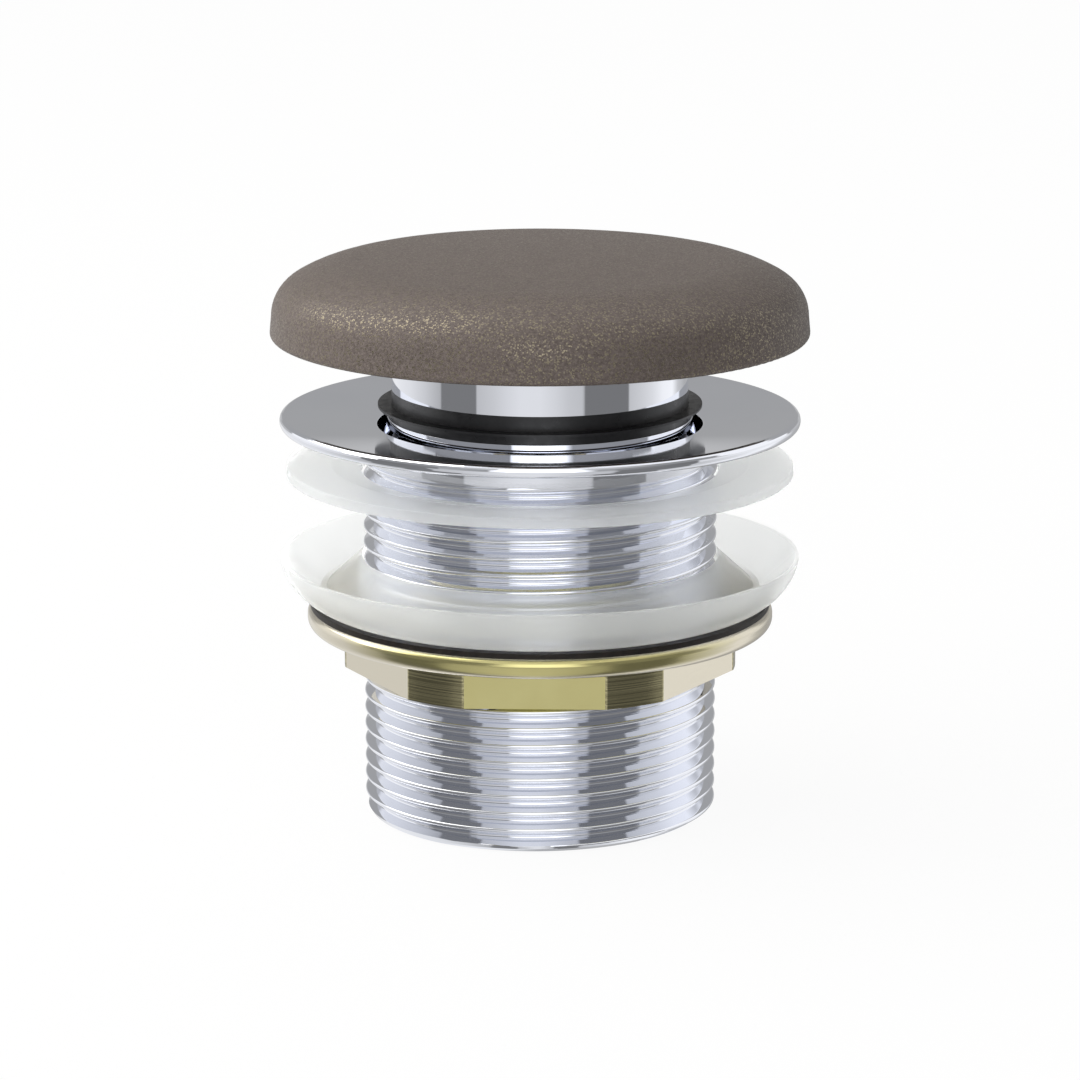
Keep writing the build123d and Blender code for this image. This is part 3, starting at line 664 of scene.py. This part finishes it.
def build_spring():
    """The coil spring, with a closed turn at each end."""
    total = COIL_STEPS * SPRING_TURNS
    closed = 2 * WIRE + COIL_GAP
    rise = SPRING_TOP - SPRING_BOTTOM - 2 * WIRE
    points, faces = [], []
    for i in range(total + 1):
        turn = i / COIL_STEPS
        share = (turn - 1) / (SPRING_TURNS - 2)
        if turn < 1:
            z = closed * turn
        elif turn > SPRING_TURNS - 1:
            z = rise - closed * (SPRING_TURNS - turn)
        else:
            z = closed + (rise - 2 * closed) * share
        angle = TURN * turn
        for j in range(WIRE_AROUND):
            a = TURN * j / WIRE_AROUND
            r = SPRING_RADIUS + WIRE * math.cos(a)
            height = SPRING_BOTTOM + WIRE + z + WIRE * math.sin(a)
            points.append((r * math.cos(angle), r * math.sin(angle), height))
    for i in range(total):
        here, ahead = i * WIRE_AROUND, (i + 1) * WIRE_AROUND
        for j in range(WIRE_AROUND):
            up = (j + 1) % WIRE_AROUND
            faces.append((here + j, ahead + j, ahead + up, here + up))
    faces.append(tuple(range(WIRE_AROUND)))
    faces.append(tuple(total * WIRE_AROUND + j for j in reversed(range(WIRE_AROUND))))
    return mesh_object("coil_spring", points, faces, steel, "waste")


body = build_body()
weld(body, 25.0, BODY_JOIN)
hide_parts("waste_body")
bridge = build_bridge()
weld(bridge)
nut = build_backnut()
weld(nut, 15.0)
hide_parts("backnut")
spring = build_spring()
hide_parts("spring")
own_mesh(spring)

# Carried-over CAD nodes get their finished materials
finishes = {
    "cap": cap_composite,
    "cap_insert": inner_brass,
    "cap_gasket": rubber,
    "plug_collar": chrome,
    "plug_seal": rubber,
    "seal_retainer": chrome,
    "plug_nut": inner_brass,
    "plunger": inner_brass,
    "push_cam": acetal,
    "rotor": acetal,
    "spring_seat": steel,
    "guide_sleeve": acetal,
    "cartridge_housing": inner_chrome,
    "cartridge_gland": inner_chrome,
    "stem_seal": rubber,
    "seat_washer": fibre,
    "lock_washer": steel,
    "lock_nut": inner_brass,
    "flange_washer": milky,
    "taper_washer": milky,
    "slip_washer": slip,
    "backnut": nut_brass,
}
for node, mat in finishes.items():
    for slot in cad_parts[node].material_slots:
        slot.material = mat


# Stage: pale floor, white surround, soft studio light

def shown_straight(nodes, links):
    """1 for rays from the camera, also through clear pieces, that no metal has turned."""
    path = nodes.new("ShaderNodeLightPath")
    seen = sums(nodes, links, "MAXIMUM", path.outputs["Is Camera Ray"],
                path.outputs["Is Transmission Ray"])
    first = sums(nodes, links, "LESS_THAN", path.outputs["Glossy Depth"], 0.5)
    return path, sums(nodes, links, "MULTIPLY", seen, first)


def build_floor():
    """Pale floor that keeps a soft shadow, white to the camera and left out of the metal."""
    mat, nodes, links, out = new_material("studio_floor")
    diffuse = nodes.new("ShaderNodeBsdfDiffuse")
    diffuse.inputs["Color"].default_value = (0.80, 0.80, 0.80, 1)
    glow = nodes.new("ShaderNodeEmission")
    glow.inputs["Strength"].default_value = 1.0
    path, straight = shown_straight(nodes, links)
    share = sums(nodes, links, "MULTIPLY", straight, FLOOR_GLOW)
    yellow_and_painted_sheen = shader_mix(nodes, links, share, diffuse.outputs[0], glow.outputs[0])
    clear = nodes.new("ShaderNodeBsdfTransparent")
    turned = sums(nodes, links, "GREATER_THAN", path.outputs["Glossy Depth"], 0.5)
    whole = shader_mix(nodes, links, turned, yellow_and_painted_sheen, clear.outputs[0])
    links.new(whole, out.inputs["Surface"])
    level = cad_low.z - FLOOR_DROP
    signs = ((-1, -1), (1, -1), (1, 1), (-1, 1))
    mesh = bpy.data.meshes.new("floor")
    mesh.from_pydata([(x * FLOOR_HALF, y * FLOOR_HALF, level) for x, y in signs], [], [(0, 1, 2, 3)])
    floor = bpy.data.objects.new("floor", mesh)
    bpy.context.scene.collection.objects.link(floor)
    mesh.materials.append(mat)


# What the metal sees at each bearing, in degrees from the camera's side with right positive:
# below the horizon, at it, and above it. The two dark strips are the gaps between the lights.
BELOW = [
    (-180, 0.45), (-165, 0.80), (-150, 0.90), (-120, 0.80), (-100, 0.64), (-83, 0.46),
    (-82, 0.20), (-50.5, 0.20),
    (-49.5, 0.55), (-36, 0.63), (-25, 0.73), (-15, 0.80), (0, 0.80), (12, 0.71), (22, 0.61),
    (33.5, 0.56), (34.5, 0.19), (72, 0.19),
    (73, 0.57), (85, 0.66), (97, 0.77), (110, 0.95), (124, 1.0), (134, 0.60), (150, 0.44),
    (180, 0.45),
]
LEVEL = [
    (-180, 0.50), (-146, 0.52), (-140, 0.90), (-123, 0.92), (-95, 0.74), (-84, 0.64),
    (-83, 0.19), (-45, 0.19),
    (-44, 0.56), (-27, 0.53), (-12, 0.57), (12, 0.58), (32, 0.52),
    (33, 0.18), (72, 0.18),
    (73, 0.76), (100, 0.88), (125, 0.92), (140, 0.90), (146, 0.52), (180, 0.50),
]
ABOVE = [
    (-180, 0.37), (-141, 0.37), (-139, 1.0), (-98, 1.0), (-96, 0.30), (-22.5, 0.30),
    (-21.5, 1.1), (-12, 1.9), (14, 1.9), (20, 1.2),
    (25, 0.34), (60, 0.30), (90, 0.30), (92, 1.0), (138, 1.0), (140, 0.37), (180, 0.37),
]

# What matt surfaces are lit by, from below and from above: brighter on the left and at the back
SOFT_LOW = [(-180, 0.80), (-90, 0.95), (-20, 0.50), (40, 0.24), (90, 0.18), (180, 0.80)]
SOFT_HIGH = [(-180, 0.80), (-90, 1.10), (-20, 1.15), (40, 0.52), (90, 0.26), (180, 0.80)]


def build_world():
    """White to the camera; the metal sees a pale room with two dark upright strips and a soft box."""
    world = bpy.data.worlds.new("studio")
    bpy.context.scene.world = world
    world.use_nodes = True
    nodes, links = world.node_tree.nodes, world.node_tree.links
    nodes.clear()
    out = nodes.new("ShaderNodeOutputWorld")
    coord = nodes.new("ShaderNodeTexCoord")
    split = nodes.new("ShaderNodeSeparateXYZ")
    links.new(coord.outputs["Generated"], split.inputs[0])
    back = sums(nodes, links, "MULTIPLY", split.outputs[1], -1)
    angle = sums(nodes, links, "ARCTAN2", split.outputs[0], back)
    place = spread(nodes, links, angle, 0, 1, -math.pi, math.pi)

    def band(table):
        return colours(nodes, links, place, [((a + 180) / 360, (v, v, v)) for a, v in table])

    def layered(first, second, low, high):
        """First below one height of the ray, second above the other."""
        height = spread(nodes, links, split.outputs[2], 0, 1, low, high)
        return mixed(nodes, links, height, first, second)

    room = layered(band(BELOW), band(LEVEL), -0.15, -0.06)
    room = layered(room, band(ABOVE), 0.07, 0.12)
    white = (1, 1, 1, 1)
    room = layered(room, white, 0.62, 0.80)
    path, straight = shown_straight(nodes, links)
    soft = layered(band(SOFT_LOW), band(SOFT_HIGH), -0.1, 0.5)
    turned = mixed(nodes, links, path.outputs["Is Glossy Ray"], soft, room)
    glow = nodes.new("ShaderNodeBackground")
    glow.inputs["Strength"].default_value = 1.0
    links.new(mixed(nodes, links, straight, turned, white), glow.inputs["Color"])
    links.new(glow.outputs[0], out.inputs["Surface"])


def area_light(name, place, size, power, colour=(1, 1, 1)):
    """A soft lamp that points at the part's origin."""
    data = bpy.data.lights.new(name, "AREA")
    data.shape = "RECTANGLE"
    data.size, data.size_y = size
    data.energy = power
    data.color = colour
    lamp = bpy.data.objects.new(name, data)
    lamp.location = place
    lamp.rotation_euler = (-Vector(place)).to_track_quat("-Z", "Y").to_euler()
    bpy.context.scene.collection.objects.link(lamp)
    return lamp


build_floor()
build_world()
area_light("key", (-0.68, 0.24, 0.84), (1.0, 1.0), 6.2, (1.0, 0.97, 0.91))
side = area_light("side", (-0.80, -0.42, 0.42), (0.8, 0.8), 4.5)
side.visible_glossy = False

# Camera, at the photo's place
camera_data = bpy.data.cameras.new("camera")
camera_data.sensor_width = CAMERA_SENSOR
camera_data.lens = CAMERA_LENS
camera = bpy.data.objects.new("camera", camera_data)
view_angle = math.radians(CAMERA_ANGLE)
towards = Vector((0, -math.cos(view_angle), math.sin(view_angle)))
camera.location = CAMERA_TARGET + towards * CAMERA_DISTANCE
camera.rotation_euler = (CAMERA_TARGET - camera.location).to_track_quat("-Z", "Y").to_euler()
bpy.context.scene.collection.objects.link(camera)
bpy.context.scene.camera = camera
bpy.context.scene.view_settings.view_transform = "Standard"
